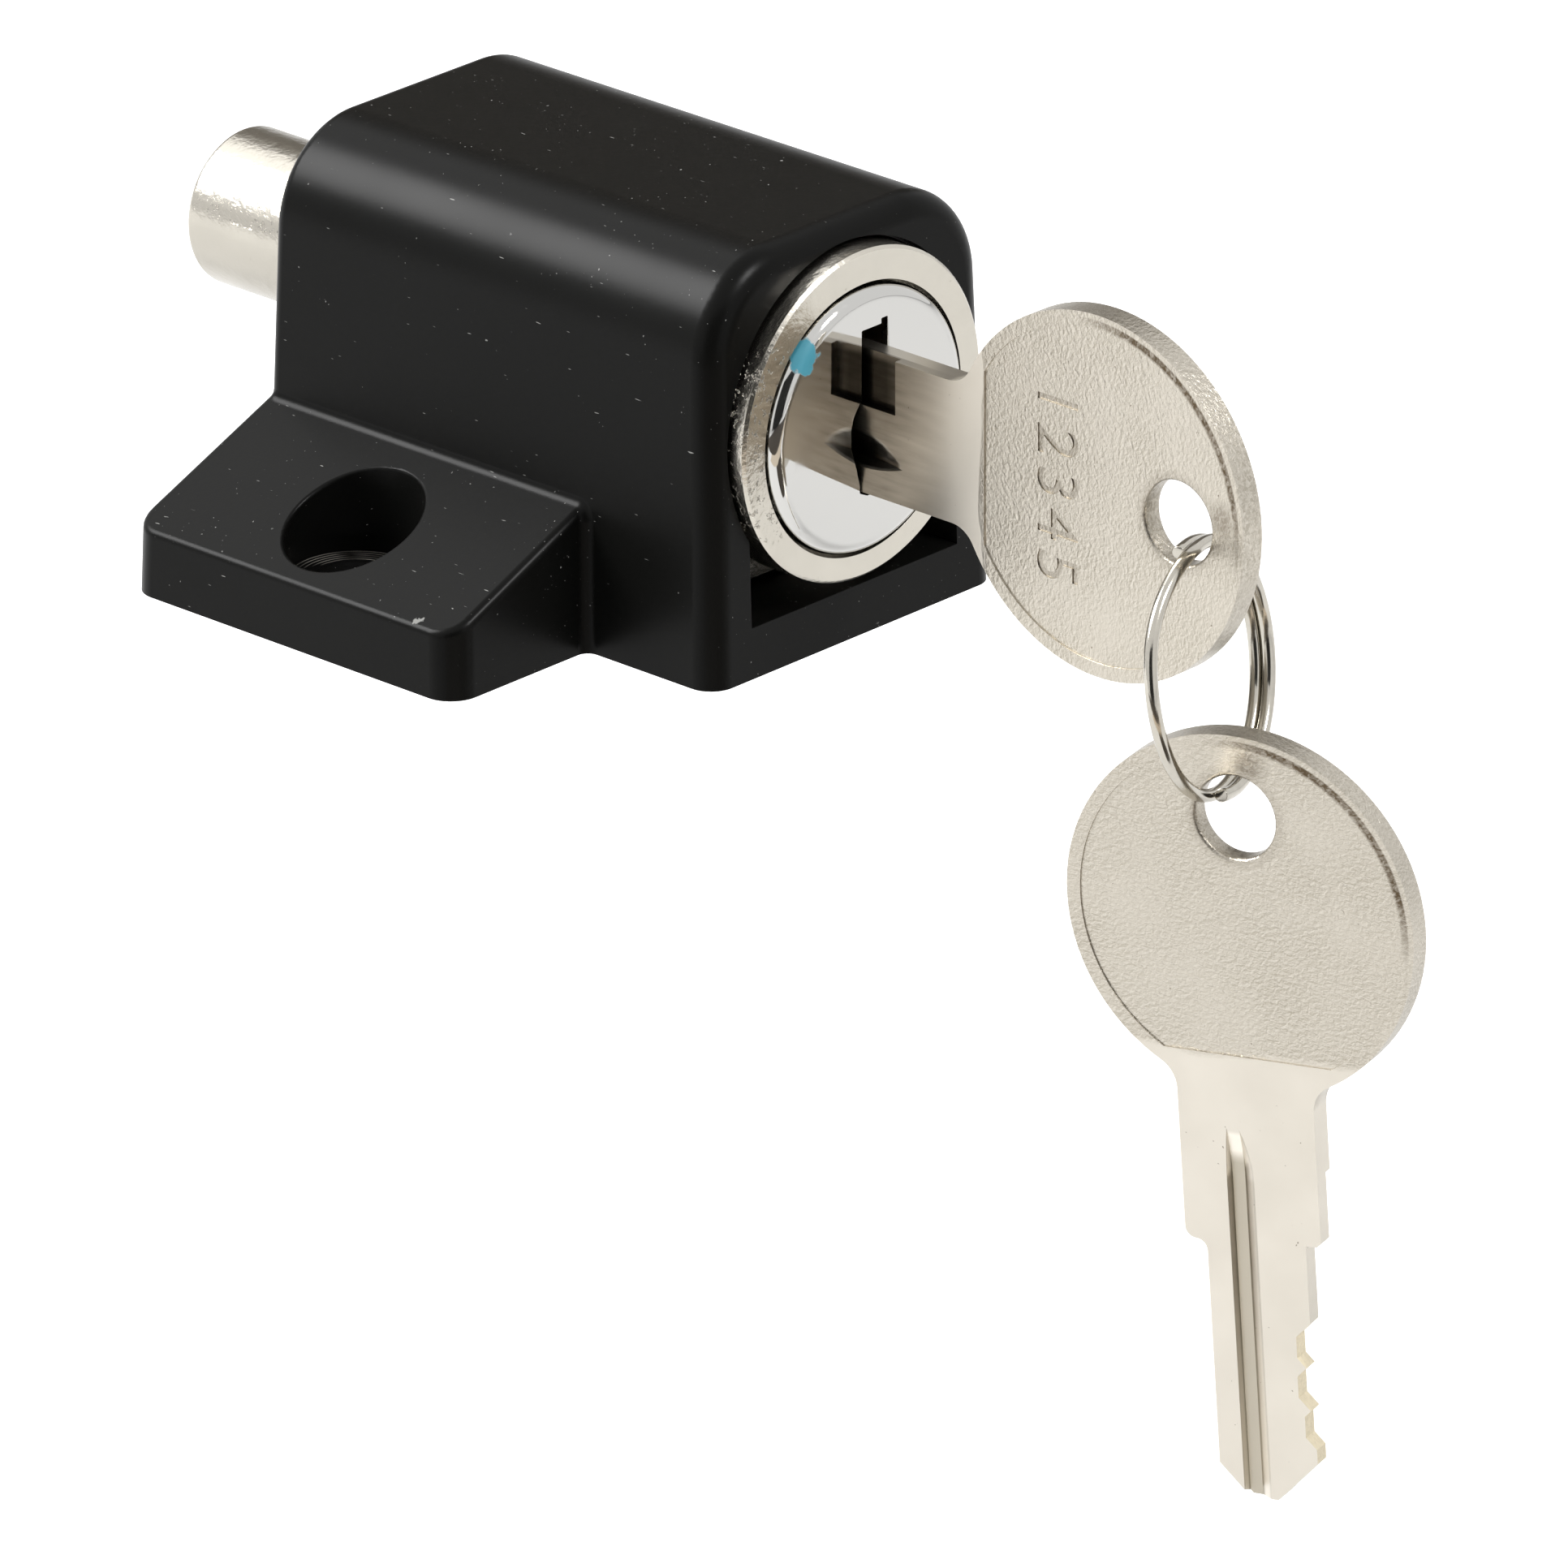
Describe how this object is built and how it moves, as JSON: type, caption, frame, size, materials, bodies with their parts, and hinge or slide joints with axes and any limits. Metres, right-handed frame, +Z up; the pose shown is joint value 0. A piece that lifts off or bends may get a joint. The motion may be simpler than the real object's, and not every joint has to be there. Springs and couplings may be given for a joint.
{
  "type": "sliding door lock",
  "caption": "Surface mounted plunger lock for sliding doors: black cast housing with two screw ears, keyed push barrel, round bolt, and two flat keys on a split ring.",
  "frame": {"origin": "midway between the two screw holes, on the mounting face", "axes": "+X across the screw ears, +Y the way the bolt points out of the rear, +Z up away from the mounting face; the key goes in from -Y"},
  "size_m": [0.0492, 0.0956, 0.0737],
  "materials": {
    "black_coated_zinc": "die cast zinc with a satin black coating",
    "nickel_plated_zinc": "die cast zinc, nickel plated, lightly worn",
    "bright_chrome": "drawn cap, bright chrome plate",
    "plug_brass": "machined brass",
    "wafer_brass": "stamped brass",
    "nickel_plated_brass": "stamped brass, nickel plated, grained by tumbling",
    "nickel_plated_wire": "nickel plated spring wire",
    "lug_steel": "stamped steel",
    "pin_steel": "ground steel pin",
    "spring_steel": "spring wire"
  },
  "bodies": {
    "housing": {"housing": "black_coated_zinc", "stop_pin": "pin_steel", "return_spring": "spring_steel"},
    "barrel": {"barrel": "nickel_plated_zinc", "bolt": "nickel_plated_zinc", "bolt_cross_pin": "pin_steel", "plug_keeper_pin": "pin_steel"},
    "plug": {"plug": "plug_brass", "plug_face_cap": "bright_chrome", "wafer_spring_1": "spring_steel", "wafer_spring_2": "spring_steel", "wafer_spring_3": "spring_steel", "wafer_spring_4": "spring_steel", "wafer_spring_5": "spring_steel"},
    "locking_lug": {"locking_lug": "lug_steel"},
    "working_key": {"working_key": "nickel_plated_brass"},
    "split_ring": {"split_ring": "nickel_plated_wire"},
    "spare_key": {"spare_key": "nickel_plated_brass"},
    "wafer_1": {"wafer_1": "wafer_brass"},
    "wafer_2": {"wafer_2": "wafer_brass"},
    "wafer_3": {"wafer_3": "wafer_brass"},
    "wafer_4": {"wafer_4": "wafer_brass"},
    "wafer_5": {"wafer_5": "wafer_brass"}
  },
  "joints": [
    {"name": "barrel_slide", "type": "slide", "parent": "housing", "child": "barrel", "axis": [0, -1, 0], "range_m": [0, 0.0135], "deforming": ["return_spring"]},
    {"name": "plug_turn", "type": "hinge", "parent": "barrel", "child": "plug", "pos_m": [0, -0.015, 0.01445], "axis": [0, 1, 0], "range_deg": [0, 90]},
    {"name": "lug_slide", "type": "slide", "parent": "barrel", "child": "locking_lug", "axis": [0, 0, -1], "range_m": [0, 0.0025]},
    {"name": "key_slide", "type": "slide", "parent": "plug", "child": "working_key", "axis": [0, -1, 0], "range_m": [0, 0.02]},
    {"name": "ring_swing", "type": "hinge", "parent": "working_key", "child": "split_ring", "pos_m": [0, -0.05099, 0.015], "axis": [1, 0, 0], "range_deg": [-50, 20]},
    {"name": "spare_key_swing", "type": "hinge", "parent": "split_ring", "child": "spare_key", "pos_m": [-0.0004, -0.05584, -0.0025], "axis": [0.9438, 0.3305, 0], "range_deg": [-30, 12]},
    {"name": "wafer_1_drop", "type": "slide", "parent": "plug", "child": "wafer_1", "axis": [0, 0, -1], "range_m": [0, 0.0006]},
    {"name": "wafer_2_drop", "type": "slide", "parent": "plug", "child": "wafer_2", "axis": [0, 0, -1], "range_m": [0, 0.0006]},
    {"name": "wafer_3_drop", "type": "slide", "parent": "plug", "child": "wafer_3", "axis": [0, 0, -1], "range_m": [0, 0.0006]},
    {"name": "wafer_4_drop", "type": "slide", "parent": "plug", "child": "wafer_4", "axis": [0, 0, -1], "range_m": [0, 0.0006]},
    {"name": "wafer_5_drop", "type": "slide", "parent": "plug", "child": "wafer_5", "axis": [0, 0, -1], "range_m": [0, 0.0006]}
  ],
  "couplings": [
    {"joint": "lug_slide", "follows": "plug_turn", "m_per_rad": 0.0015915},
    {"joint": "wafer_1_drop", "follows": "key_slide", "ratio": 0.03},
    {"joint": "wafer_2_drop", "follows": "key_slide", "ratio": 0.03},
    {"joint": "wafer_3_drop", "follows": "key_slide", "ratio": 0.03},
    {"joint": "wafer_4_drop", "follows": "key_slide", "ratio": 0.03},
    {"joint": "wafer_5_drop", "follows": "key_slide", "ratio": 0.03}
  ]
}
